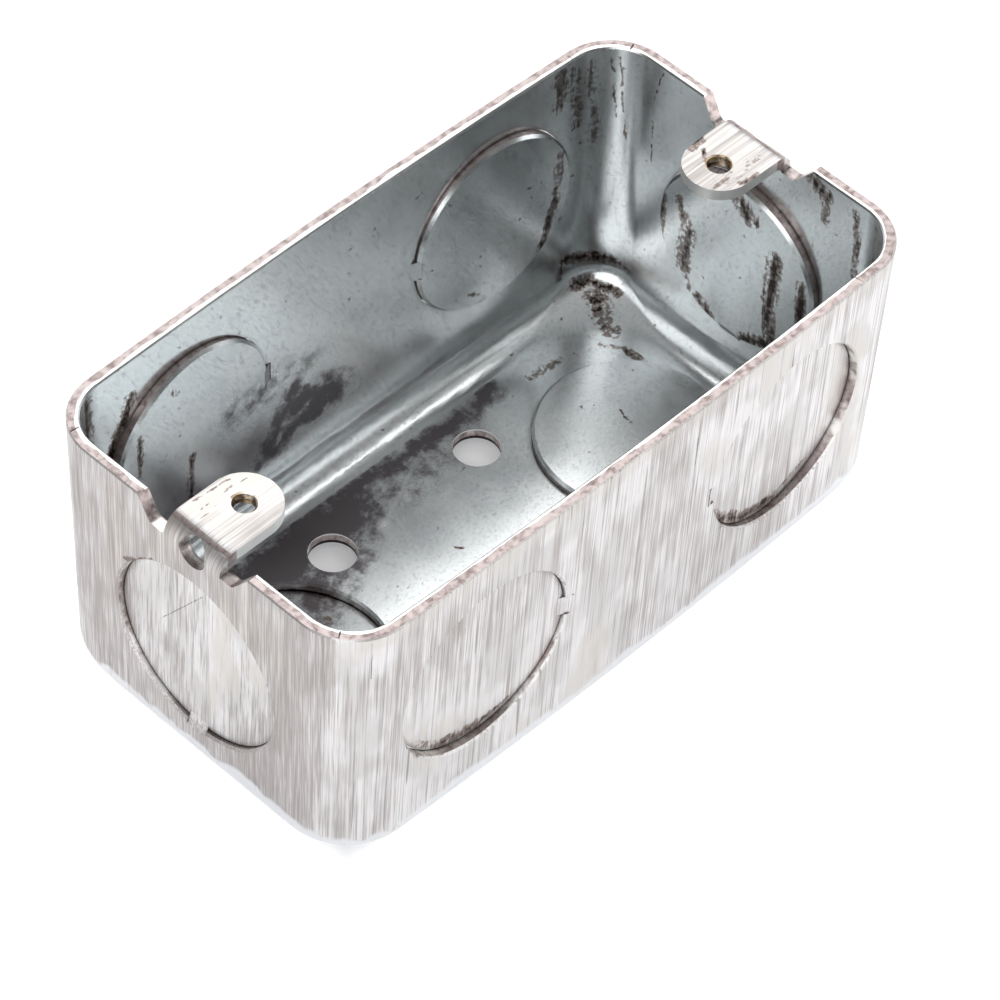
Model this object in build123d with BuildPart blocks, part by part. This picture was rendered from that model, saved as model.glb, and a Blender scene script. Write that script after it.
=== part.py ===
from build123d import *
import math
import os

# A shallow switch box, deep drawn from one blank of galvanised steel. Its ears are folded in from the
# end walls, and its knockouts are discs of the same sheet, sheared through and held by one tie each.
# The origin is the centre of the floor's underside, +X runs along the box and +Z out of its open mouth.

# Shell, over the outside at the rim
length = 100.8
width = 55.6            # across the middle of the bowed long walls
height = 45.2
wall = 1.7
draft = 1.05            # degrees that each wall leans out, from the floor to the rim
corner_radius = 8.5     # in plan, along the walls
floor_radius = 6.3      # between the walls and the floor
side_bow = 0.7          # how far the middle of each long wall stands out past its ends
corner_spread = 1.5     # what the plan corner gains for each millimetre that the floor bend steps in
rim_break = 0.2         # bevel along both edges of the rim
bend_sections = 7       # outlines that the floor bend is drawn through

# Ears, folded in over the end walls
screw_spacing = 83.34   # between the two cover screws
screw_diameter = 3.5
ear_width = 9.6
ear_drop = 0.8          # from the rim down to the ear's top
fold_radius = 2.8       # outside of the fold
fold_hole_diameter = 4.4
fold_hole_tilt = 5.0    # degrees that the hole through the fold looks up

# Reliefs torn down beside each ear, measured from the middle of the end wall
wide_relief_foot = 7.2
wide_relief_mouth = 9.3
narrow_relief_foot = 6.9
narrow_relief_mouth = 9.7
relief_round = 0.9

# Knockouts
side_knockout_diameter = 27.5
side_knockout_x = 27.1
side_knockout_z = 25.6
end_knockout_diameter = 27.5
end_knockout_z = 22.65
floor_knockout_diameter = 27.0
raised_knockout_x = 29.5
dropped_knockout_x = -30.2
dropped_knockout_y = 3.3
shear_gap = 0.12        # between a disc and its hole, all round
hole_roll = 0.3         # bevel where the punch went in
disc_roll = 0.4         # bevel on the disc's leading edge
tie_width = 3.2
tie_run = 1.8           # the stretch of sheet that the tie slopes over
tie_bite = 0.15         # what the tie reaches into the disc and the wall

# How far the punch drove each kind of disc: at its tie, and at the edge across from the tie
side_push = (0.75, 1.6)
end_push = (0.75, 1.6)
raised_push = (0.8, 1.35)
dropped_push = (0.5, 1.45)

# Fixing holes through the floor
fixing_diameter = 6.6
fixing_spacing_x = 26.6
fixing_spacing_y = 25.8

clear = 1.0             # what a cutter runs past the surface it cuts

lean = math.radians(draft)
slope = math.tan(lean)
bend_start = floor_radius * (1 - math.sin(lean))
bend_centre = (height - bend_start) * slope + floor_radius * math.cos(lean)
ear_top = height - ear_drop
fold_z = ear_top - fold_radius
fold_x = length / 2 - (height - fold_z) * slope - fold_radius / math.cos(lean)


def outline(rise, inset, corner):
    """One level section through the shell's skin: a rounded rectangle with its long sides bowed out."""
    half_x = length / 2 - inset
    half_y = width / 2 - inset
    end_y = half_y - side_bow
    with BuildSketch(Plane.XY.offset(rise)) as section:
        with BuildLine():
            far_side = ThreePointArc((half_x - corner, end_y), (0, half_y), (corner - half_x, end_y))
            left_end = Line((-half_x, end_y - corner), (-half_x, corner - end_y))
            near_side = ThreePointArc((corner - half_x, -end_y), (0, -half_y), (half_x - corner, -end_y))
            right_end = Line((half_x, corner - end_y), (half_x, end_y - corner))
            RadiusArc(far_side @ 1, left_end @ 0, -corner)
            RadiusArc(left_end @ 1, near_side @ 0, -corner)
            RadiusArc(near_side @ 1, right_end @ 0, -corner)
            RadiusArc(right_end @ 1, far_side @ 0, -corner)
        make_face()
    return section.sketch


def bend_section(angle, skin):
    """The outline at one angle of the floor bend's arc, one skin depth inside."""
    radius = floor_radius - skin
    corner = corner_radius + corner_spread * floor_radius * (1 - math.cos(angle)) - skin * math.cos(angle)
    return outline(floor_radius - radius * math.sin(angle), bend_centre - radius * math.cos(angle), corner)


def wall_section(rise, skin, flare=0):
    """The outline of the leaning walls at one height, one skin depth inside and opened by a flare."""
    return outline(rise, (height - rise) * slope + skin / math.cos(lean) - flare, corner_radius - skin + flare)


def wall_frame(outward, half_span, bow, along, rise):
    """Plane on the outside of a leaning, bowed wall: y up the wall and z into the box."""
    bow_half = length / 2 - corner_radius
    across = outward.cross(Vector(0, 0, 1))
    foot = half_span - (height - rise) * slope - bow * (along / bow_half) ** 2
    fall = 2 * bow * along / bow_half ** 2
    face = (outward + across * fall).normalized()
    inward = Vector(0, 0, math.sin(lean)) - face * math.cos(lean)
    origin = outward * foot + across * along + Vector(0, 0, rise)
    return Plane(origin=origin, x_dir=face.cross(Vector(0, 0, 1)), z_dir=inward)


def knockout(frame, diameter, tie_angle, push):
    """A disc punched along the frame's z axis. Returns its hole, and the disc with the tie it hangs on."""
    radius = diameter / 2
    tie_push, far_push = push
    turn = math.radians(tie_angle)
    tie_way = frame.x_dir * math.cos(turn) + frame.y_dir * math.sin(turn)
    turned = Plane(origin=frame.origin, x_dir=tie_way, z_dir=frame.z_dir)
    axis = Axis(turned.origin, turned.z_dir)
    tilt = math.asin((far_push - tie_push) / diameter)
    hinge = turned.origin + turned.x_dir * radius
    disc_frame = Plane(
        origin=hinge + turned.z_dir * tie_push,
        x_dir=turned.x_dir * math.cos(tilt) - turned.z_dir * math.sin(tilt),
        z_dir=turned.x_dir * math.sin(tilt) + turned.z_dir * math.cos(tilt),
    )
    disc_side = tie_push + tie_run / 2 * math.sin(tilt)

    with BuildPart() as hole:
        with BuildSketch(turned):
            Circle(radius)
        extrude(amount=wall)
        with BuildSketch(turned.offset(hole_roll)):
            Circle(radius)
        with BuildSketch(turned):
            Circle(radius + hole_roll)
        loft()
        with BuildSketch(turned.offset(-clear)):
            Circle(radius + hole_roll)
        extrude(amount=clear)
        with BuildSketch(turned.offset(wall)):
            Circle(radius)
        extrude(amount=clear)
        with BuildSketch(turned.offset(-clear)):
            with Locations((radius, 0)):
                Rectangle(tie_run, tie_width)
        extrude(amount=wall + 2 * clear)

    with BuildPart() as disc:
        with BuildSketch(disc_frame):
            with Locations((-radius, 0)):
                Circle(radius - shear_gap)
        extrude(amount=wall)
        leading = disc.edges().filter_by(GeomType.CIRCLE).sort_by(axis)[-1]
        chamfer(leading, disc_roll)
        with BuildSketch(disc_frame.offset(-clear)):
            Rectangle(tie_run, tie_width)
        extrude(amount=wall + 2 * clear, mode=Mode.SUBTRACT)
        with BuildSketch(Plane(origin=hinge, x_dir=turned.x_dir, z_dir=-turned.y_dir)):
            with BuildLine():
                Polyline(
                    (tie_run / 2 + tie_bite, 0),
                    (tie_run / 2, 0),
                    (-tie_run / 2, disc_side),
                    (-tie_run / 2 - tie_bite, disc_side),
                    (-tie_run / 2 - tie_bite, disc_side + wall),
                    (-tie_run / 2, disc_side + wall),
                    (tie_run / 2, wall),
                    (tie_run / 2 + tie_bite, wall),
                    close=True,
                )
            make_face()
        extrude(amount=tie_width / 2, both=True)
    return hole.part, disc.part


# Where the knockouts are: each side wall's ties face the middle of the box, the end walls' are below
knockouts = []
for outward in (Vector(0, 1, 0), Vector(0, -1, 0)):
    for along in (-side_knockout_x, side_knockout_x):
        frame = wall_frame(outward, width / 2, side_bow, along, side_knockout_z)
        knockouts.append(knockout(frame, side_knockout_diameter, 180 if along > 0 else 0, side_push))
for outward in (Vector(1, 0, 0), Vector(-1, 0, 0)):
    frame = wall_frame(outward, length / 2, 0, 0, end_knockout_z)
    knockouts.append(knockout(frame, end_knockout_diameter, -90, end_push))
raised_frame = Plane(origin=(raised_knockout_x, 0, 0), x_dir=(1, 0, 0), z_dir=(0, 0, 1))
knockouts.append(knockout(raised_frame, floor_knockout_diameter, -75, raised_push))
dropped_frame = Plane(
    origin=(dropped_knockout_x, dropped_knockout_y, wall), x_dir=(1, 0, 0), z_dir=(0, 0, -1)
)
knockouts.append(knockout(dropped_frame, floor_knockout_diameter, 145, dropped_push))

# One ear, on the +X end: the fold turns a little past a quarter circle to meet the leaning wall
with BuildPart() as ear:
    with BuildSketch(Plane.XZ):
        with BuildLine():
            outside = CenterArc((fold_x, fold_z), fold_radius, 90, -90 - draft)
            inside = CenterArc((fold_x, fold_z), fold_radius - wall, 90, -90 - draft)
            Line(outside @ 0, inside @ 0)
            Line(outside @ 1, inside @ 1)
        make_face()
    extrude(amount=ear_width / 2, both=True)
    with BuildSketch(Plane.XY.offset(ear_top - wall)):
        with Locations(((fold_x + screw_spacing / 2) / 2, 0)):
            Rectangle(fold_x - screw_spacing / 2, ear_width)
        with Locations((screw_spacing / 2, 0)):
            Circle(ear_width / 2)
            Circle(screw_diameter / 2, mode=Mode.SUBTRACT)
    extrude(amount=wall)

# What is torn out of the +X rim to free the ear, down to where the fold starts
with BuildPart() as relief:
    with BuildSketch(Plane.YZ.offset(length / 2 + clear)):
        with BuildLine():
            Polyline(
                (-narrow_relief_mouth, height + clear),
                (-narrow_relief_mouth, height),
                (-narrow_relief_foot, fold_z),
                (wide_relief_foot, fold_z),
                (wide_relief_mouth, height),
                (wide_relief_mouth, height + clear),
                close=True,
            )
        make_face()
        fillet(vertices().group_by(Axis.Y)[0], relief_round)
    extrude(amount=-wall - 2 * clear)

# The round hole through the fold, square to the sheet where it leaves the wall
fold_hole_frame = Plane(origin=(fold_x, 0, fold_z), z_dir=(1, 0, math.tan(math.radians(fold_hole_tilt))))
with BuildPart() as fold_hole:
    with BuildSketch(fold_hole_frame.offset((fold_radius - wall) / 2)):
        Circle(fold_hole_diameter / 2)
    extrude(amount=fold_radius + clear)

with BuildPart() as box:
    bend_angles = [lean + (math.pi / 2 - lean) * step / (bend_sections - 1) for step in range(bend_sections)]
    loft([bend_section(angle, 0) for angle in bend_angles])
    loft([bend_section(lean, 0), wall_section(height - rim_break, 0)], ruled=True)
    loft([wall_section(height - rim_break, 0), wall_section(height, 0, -rim_break)], ruled=True)
    loft([bend_section(angle, wall) for angle in bend_angles], mode=Mode.SUBTRACT)
    loft([bend_section(lean, wall), wall_section(height - rim_break, wall)], ruled=True, mode=Mode.SUBTRACT)
    rim_flare = [wall_section(height - rim_break, wall), wall_section(height + clear, wall, rim_break + clear)]
    loft(rim_flare, ruled=True, mode=Mode.SUBTRACT)
    for cutter in (relief.part, mirror(relief.part, about=Plane.YZ, mode=Mode.PRIVATE)):
        add(cutter, mode=Mode.SUBTRACT)
    for tongue in (ear.part, mirror(ear.part, about=Plane.YZ, mode=Mode.PRIVATE)):
        add(tongue)
    for cutter in (fold_hole.part, mirror(fold_hole.part, about=Plane.YZ, mode=Mode.PRIVATE)):
        add(cutter, mode=Mode.SUBTRACT)
    with BuildSketch():
        with GridLocations(fixing_spacing_x, fixing_spacing_y, 2, 2):
            Circle(fixing_diameter / 2)
    extrude(amount=wall, mode=Mode.SUBTRACT)
    for hole, disc in knockouts:
        add(hole, mode=Mode.SUBTRACT)
        add(disc)

box.part.label = "box"
os.makedirs("parts", exist_ok=True)
export_step(box.part, "parts/box.step")
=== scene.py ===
"""Looks for the deep-drawn steel switch box: its visual piece, finishes, screw threads, studio and camera."""

import logging
import math
from dataclasses import dataclass
from enum import Enum
from typing import ClassVar, Iterable, Sequence

import bmesh
import bpy
from mathutils import Matrix, Vector


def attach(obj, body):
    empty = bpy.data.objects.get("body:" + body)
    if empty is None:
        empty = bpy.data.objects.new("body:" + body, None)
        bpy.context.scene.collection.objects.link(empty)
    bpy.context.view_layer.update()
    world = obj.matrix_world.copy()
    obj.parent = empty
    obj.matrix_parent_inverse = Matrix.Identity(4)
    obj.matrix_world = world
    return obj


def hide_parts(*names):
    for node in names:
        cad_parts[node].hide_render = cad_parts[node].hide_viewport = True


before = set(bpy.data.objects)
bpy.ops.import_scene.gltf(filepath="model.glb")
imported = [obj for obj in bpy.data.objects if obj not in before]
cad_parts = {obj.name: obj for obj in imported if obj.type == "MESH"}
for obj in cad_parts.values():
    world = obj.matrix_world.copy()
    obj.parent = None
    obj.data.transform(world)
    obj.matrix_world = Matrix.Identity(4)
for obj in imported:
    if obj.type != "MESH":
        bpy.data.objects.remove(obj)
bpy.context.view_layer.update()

LOG = logging.getLogger("switch_box")
MM = 0.001
NODE = "box"
BODY = "root"

WHITE = (1.0, 1.0, 1.0)
FADE = 1.75  # how far from its middle a stroke has faded out, in widths
EAR_CENTRE = 41.67  # from the middle of the box to each cover screw's axis, in millimetres

Colour = tuple[float, float, float]
Socket = bpy.types.NodeSocket


class Skin(Enum):
    """The kinds of surface on the box, each with the index of its finish."""

    OUTSIDE = 0
    RIM = 1
    CUT = 2
    FLOOR = 3
    LONG_WALL = 4
    END_WALL = 5
    NEAR_WALLS = 6


@dataclass
class Graph:
    """Builds one node tree by hand, socket by socket."""

    tree: bpy.types.NodeTree

    # Places of the colour sockets on a Mix node, whose names repeat for each kind of data
    COLOUR_UNDER: ClassVar[int] = 6
    COLOUR_OVER: ClassVar[int] = 7
    COLOUR_MIXED: ClassVar[int] = 2

    def node(self, kind: str, **settings: object) -> bpy.types.Node:
        """Adds a node.

        Args:
            kind: The node's type name.
            settings: Properties that are set on it.

        Returns:
            The new node.
        """
        made = self.tree.nodes.new(kind)
        for name, value in settings.items():
            setattr(made, name, value)
        return made

    def feed(self, socket: Socket, value: object) -> None:
        """Links a socket into another, or sets it to a plain value.

        Args:
            socket: The input.
            value: An output socket, a number or a vector.
        """
        if isinstance(value, bpy.types.NodeSocket):
            self.tree.links.new(value, socket)
        else:
            socket.default_value = value

    def coordinates(self) -> Socket:
        """The object's own coordinates, in metres."""
        return self.node("ShaderNodeTexCoord").outputs["Object"]

    def attribute(self, name: str) -> Socket:
        """A vector stored on the mesh."""
        return self.node("ShaderNodeAttribute", attribute_name=name).outputs["Vector"]

    def calc(
        self, operation: str, a: object, b: object = 0.0, c: object = 0.0, clamp: bool = False
    ) -> Socket:
        """One sum on numbers.

        Args:
            operation: The Math node's operation.
            a: First term.
            b: Second term.
            c: Third term.
            clamp: Whether the answer is kept between 0 and 1.

        Returns:
            The answer's socket.
        """
        made = self.node("ShaderNodeMath", operation=operation, use_clamp=clamp)
        for socket, value in zip(made.inputs, (a, b, c)):
            self.feed(socket, value)
        return made.outputs[0]

    def vector(self, operation: str, a: object, b: object, output: str = "Vector") -> Socket:
        """One sum on vectors.

        Args:
            operation: The Vector Math node's operation.
            a: First vector.
            b: Second vector.
            output: Which output is wanted.

        Returns:
            The answer's socket.
        """
        made = self.node("ShaderNodeVectorMath", operation=operation)
        self.feed(made.inputs[0], a)
        self.feed(made.inputs[1], b)
        return made.outputs[output]

    def split(self, vector: Socket) -> tuple[Socket, Socket, Socket]:
        """The x, y and z of a vector."""
        made = self.node("ShaderNodeSeparateXYZ")
        self.feed(made.inputs[0], vector)
        return made.outputs[0], made.outputs[1], made.outputs[2]

    def noise(self, vector: Socket, stretch: Sequence[float], detail: float, rough: float) -> Socket:
        """Cloudy noise, with its own number of waves to the metre along each axis.

        Args:
            vector: Where it is read.
            stretch: Waves to the metre along x, y and z.
            detail: Octaves.
            rough: How much the finer octaves weigh.

        Returns:
            The noise, from 0 to 1.
        """
        scaled = self.vector("MULTIPLY", vector, tuple(stretch))
        made = self.node("ShaderNodeTexNoise")
        self.feed(made.inputs["Vector"], scaled)
        made.inputs["Scale"].default_value = 1.0
        made.inputs["Detail"].default_value = detail
        made.inputs["Roughness"].default_value = rough
        return made.outputs[0]

    def warp(self, vector: Socket, waves: float, reach: float) -> Socket:
        """Coordinates pushed about by noise, so that what is drawn with them has ragged edges.

        Args:
            vector: The coordinates.
            waves: Waves to the metre.
            reach: How far they are pushed, in metres.

        Returns:
            The pushed coordinates.
        """
        made = self.node("ShaderNodeTexNoise")
        self.feed(made.inputs["Vector"], vector)
        made.inputs["Scale"].default_value = waves
        made.inputs["Detail"].default_value = 3.0
        made.inputs["Roughness"].default_value = 0.65
        centred = self.vector("SUBTRACT", made.outputs["Color"], (0.5, 0.5, 0.5))
        return self.vector("ADD", vector, self.vector("MULTIPLY", centred, (2 * reach, 2 * reach, 2 * reach)))

    def crevice(self, reach: float) -> Socket:
        """How shut in a point is.

        Args:
            reach: How far it looks about, in metres.

        Returns:
            1 in a tight corner and 0 in the open.
        """
        made = self.node("ShaderNodeAmbientOcclusion", samples=1)
        made.inputs["Distance"].default_value = reach
        return self.calc("SUBTRACT", 1.0, made.outputs["AO"])

    def span(
        self, value: Socket, low: float, high: float, to_low: float = 0.0, to_high: float = 1.0
    ) -> Socket:
        """A smooth step of a number.

        Args:
            value: The number.
            low: Where the step starts.
            high: Where it ends.
            to_low: What it gives at the start.
            to_high: What it gives at the end.

        Returns:
            The stepped number.
        """
        made = self.node("ShaderNodeMapRange", interpolation_type="SMOOTHSTEP")
        for socket, number in zip(made.inputs, (value, low, high, to_low, to_high)):
            self.feed(socket, number)
        return made.outputs[0]

    def lay(self, under: object, over: object, amount: object) -> Socket:
        """Lays one colour over another.

        Args:
            under: The colour beneath.
            over: The colour on top.
            amount: How much of it shows.

        Returns:
            The colour that results.
        """
        made = self.node("ShaderNodeMix", data_type="RGBA")
        self.feed(made.inputs["Factor"], amount)
        self.feed(made.inputs[self.COLOUR_UNDER], under)
        self.feed(made.inputs[self.COLOUR_OVER], over)
        return made.outputs[self.COLOUR_MIXED]

    def most(self, values: Iterable[Socket]) -> Socket:
        """The largest of several numbers, each folded in as it is made so that few are held at once."""
        best: Socket | None = None
        for value in values:
            best = value if best is None else self.calc("MAXIMUM", best, value)
        return best


def rgba(colour: Colour) -> tuple[float, float, float, float]:
    """A colour with full opacity."""
    return (*colour, 1.0)


# Strokes also lay patches of painted shade and a painted highlight, besides dirt and scratches
@dataclass(frozen=True)
class Stroke:
    """A smear, scrape or stain, as a line on the box with a width.

    Attributes:
        start: One end, in millimetres.
        end: The other end, in millimetres, never the same point.
        width: Half the width that shows, in millimetres.
        depth: How much of it shows, from 0 to 1.
    """

    start: tuple[float, float, float]
    end: tuple[float, float, float]
    width: float
    depth: float = 1.0

    def mask(self, graph: Graph, place: Socket) -> Socket:
        """Draws the stroke.

        Args:
            graph: The tree it is drawn in.
            place: Object coordinates, already warped so that its edge is ragged.

        Returns:
            Its depth along its middle, falling to 0 at its edge.
        """
        start = Vector(self.start) * MM
        along = Vector(self.end) * MM - start
        offset = graph.vector("SUBTRACT", place, tuple(start))
        share = graph.vector("DOT_PRODUCT", offset, tuple(along / along.length_squared), "Value")
        share = graph.calc("ADD", share, 0.0, clamp=True)
        reach = graph.node("ShaderNodeVectorMath", operation="SCALE")
        reach.inputs[0].default_value = along
        graph.feed(reach.inputs["Scale"], share)
        gap = graph.vector("DISTANCE", offset, reach.outputs["Vector"], "Value")
        near = graph.calc("MULTIPLY_ADD", gap, -self.depth / (FADE * self.width * MM), self.depth)
        return graph.calc("MAXIMUM", near, 0.0)


@dataclass(frozen=True)
class Finish:
    """A metal finish: its colours and gloss.

    Attributes:
        name: The material's name.
        base: The clean metal.
        stain: The dirt that darkens it.
        gloss: Roughness of the clean metal.
        smear: Dirt spread thin.
        grease_and_shade: The grease that hides the metal; the same near-black is also laid as painted shade
            in crevices and along the foot of a floor hole's edge.
    """

    name: str
    base: Colour
    stain: Colour
    gloss: float
    smear: Colour = (0.20, 0.145, 0.12)
    # Grease, and also the colour of painted shade
    grease_and_shade: Colour = (0.03, 0.022, 0.019)

    def start(self) -> tuple[bpy.types.Material, Graph, bpy.types.Node]:
        """Opens the material.

        Returns:
            The material, its graph and its main shader.
        """
        material = bpy.data.materials.new(self.name)
        material.use_nodes = True
        graph = Graph(material.node_tree)
        shader = next(n for n in material.node_tree.nodes if n.type == "BSDF_PRINCIPLED")
        shader.inputs["Metallic"].default_value = 1.0
        return material, graph, shader

    def smears(
        self, graph: Graph, spot: Socket, place: Socket, strokes: Sequence[Stroke], colour: Socket
    ) -> Socket:
        """Lays on dirt, dry-brushed along the draw: brown where it is thin and black where it is thick.

        Args:
            graph: The material's graph.
            spot: Object coordinates.
            place: Coordinates along the draw.
            strokes: The dirt.
            colour: The colour beneath.

        Returns:
            The soiled colour.
        """
        moved = graph.warp(spot, 330.0, 0.6 * MM)
        drawn = graph.most(stroke.mask(graph, moved) for stroke in strokes)
        bristle = graph.noise(place, (1300.0, 1300.0, 150.0), 3.0, 0.7)
        grit = graph.noise(spot, (1500.0, 1500.0, 1500.0), 2.0, 0.65)
        worn = graph.calc("MULTIPLY", drawn, 1.7)
        worn = graph.calc("MULTIPLY_ADD", graph.calc("SUBTRACT", bristle, 0.52), 3.6, worn)
        worn = graph.calc("MULTIPLY_ADD", graph.calc("SUBTRACT", grit, 0.52), 3.0, worn)
        worn = graph.calc("MULTIPLY", worn, graph.span(drawn, 0.0, 0.3))
        colour = graph.lay(colour, rgba(self.smear), graph.span(worn, 0.0, 0.7, 0.0, 0.8))
        return graph.lay(colour, rgba(self.grease_and_shade), graph.span(worn, 0.75, 1.5))

    def emboss(
        self, graph: Graph, shader: bpy.types.Node, height: Socket, depth: float, strength: float
    ) -> None:
        """Puts a relief on the surface.

        Args:
            graph: The material's graph.
            shader: Its main shader.
            height: The relief, from 0 to 1.
            depth: How deep 0 to 1 is, in millimetres.
            strength: How much of it shows.
        """
        bump = graph.node("ShaderNodeBump")
        bump.inputs["Strength"].default_value = strength
        bump.inputs["Distance"].default_value = depth * MM
        graph.feed(bump.inputs["Height"], height)
        graph.feed(shader.inputs["Normal"], bump.outputs[0])


@dataclass(frozen=True)
class DrawnSkin(Finish):
    """The outside, scored up and down by the drawing die.

    Attributes:
        bright: The lighter metal.
        warm: The browner metal.
        pale: The floor bend's colour, paler and bluer than the walls: clean metal, and a painted reflection
            of the bright floor.
    """

    bright: Colour = (0.80, 0.79, 0.80)
    warm: Colour = (0.64, 0.605, 0.56)
    pale: Colour = (0.80, 0.815, 0.85)

    def material(self, strokes: Sequence[Stroke], hairs: Sequence[Stroke]) -> bpy.types.Material:
        """Builds the finish.

        Args:
            strokes: The dirt that lies along its edges.
            hairs: Single dark hairlines.

        Returns:
            The material.
        """
        material, graph, shader = self.start()
        place = graph.attribute("grain")
        spot = graph.coordinates()
        across, _, height = graph.split(spot)
        fine = graph.noise(place, (3500.0, 3500.0, 27.0), 3.0, 0.7)
        broad = graph.noise(place, (900.0, 900.0, 17.0), 3.0, 0.6)
        hair = graph.noise(place, (6500.0, 6500.0, 150.0), 2.0, 0.5)
        gouge = graph.noise(place, (1500.0, 1500.0, 40.0), 2.0, 0.4)
        patch = graph.noise(place, (85.0, 85.0, 38.0), 3.0, 0.62)
        haze = graph.noise(place, (210.0, 210.0, 90.0), 2.0, 0.6)
        above_bend = graph.span(graph.calc("MULTIPLY_ADD", haze, 5.0 * MM, height), 8.1 * MM, 9.2 * MM)
        # Painted shade: on the near end wall the dark scoring grows denser, which darkens that whole end
        near_end_shade = graph.span(across, -50.0 * MM, -48.6 * MM, 0.175, 0.0)
        inboard = graph.span(graph.calc("ABSOLUTE", across), 48.0 * MM, 46.8 * MM)
        ear_top = graph.calc("MULTIPLY", inboard, graph.span(height, 42.5 * MM, 44.0 * MM))
        lean = graph.calc("MULTIPLY_ADD", graph.calc("SUBTRACT", patch, 0.5), 0.65, near_end_shade)
        scored = graph.span(graph.calc("ADD", fine, lean), 0.45, 0.64)
        banded = graph.span(graph.calc("ADD", broad, lean), 0.53, 0.72)
        lines = graph.most((graph.calc("MULTIPLY", scored, 0.85), graph.calc("MULTIPLY", banded, 0.8)))
        lines = graph.calc("MULTIPLY", lines, graph.span(hair, 0.34, 0.58, 0.45, 1.0))
        lines = graph.calc("MULTIPLY", lines, graph.calc("MULTIPLY_ADD", ear_top, -0.3, 1.0))
        dirt = graph.calc("MULTIPLY", lines, above_bend)
        dirt = graph.most((dirt, graph.span(gouge, 0.68, 0.73, 0.0, 0.95)))
        colour = graph.lay(rgba(self.base), rgba(self.bright), graph.span(haze, 0.40, 0.58))
        colour = graph.lay(colour, rgba(self.warm), graph.span(patch, 0.46, 0.34, 0.0, 0.6))
        colour = graph.lay(colour, rgba(self.base), graph.span(hair, 0.5, 0.66, 0.0, 0.55))
        colour = graph.lay(colour, rgba(self.warm), graph.calc("MULTIPLY", ear_top, 0.45))
        colour = graph.lay(colour, rgba(self.stain), graph.calc("MULTIPLY", dirt, 0.68))
        # Painted reflection: the floor bend, kept free of the dirt lines, is laid paler and bluer, as if the
        # bright floor were mirrored in it
        on_bend = graph.calc("MULTIPLY", graph.calc("SUBTRACT", 1.0, above_bend), 0.8)
        colour = graph.lay(colour, rgba(self.pale), on_bend)
        # Painted shade: the grease colour laid where the surface is shut in, in crevices and tight corners
        tight = graph.span(graph.crevice(0.9 * MM), 0.45, 0.8)
        colour = graph.lay(colour, rgba(self.grease_and_shade), graph.calc("MULTIPLY", tight, 0.85))
        colour = self.smears(graph, spot, place, strokes, colour)
        shaken = graph.warp(spot, 700.0, 0.08 * MM)
        line = graph.most(mark.mask(graph, shaken) for mark in hairs)
        broken = graph.span(hair, 0.34, 0.56)
        line = graph.calc("MULTIPLY", graph.span(line, 0.15, 0.6), broken)
        colour = graph.lay(colour, rgba(self.grease_and_shade), line)
        graph.feed(shader.inputs["Base Color"], colour)
        graph.feed(shader.inputs["Roughness"], graph.calc("MULTIPLY_ADD", dirt, 0.15, self.gloss))
        self.emboss(graph, shader, hair, 0.02, 0.4)
        return material


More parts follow.
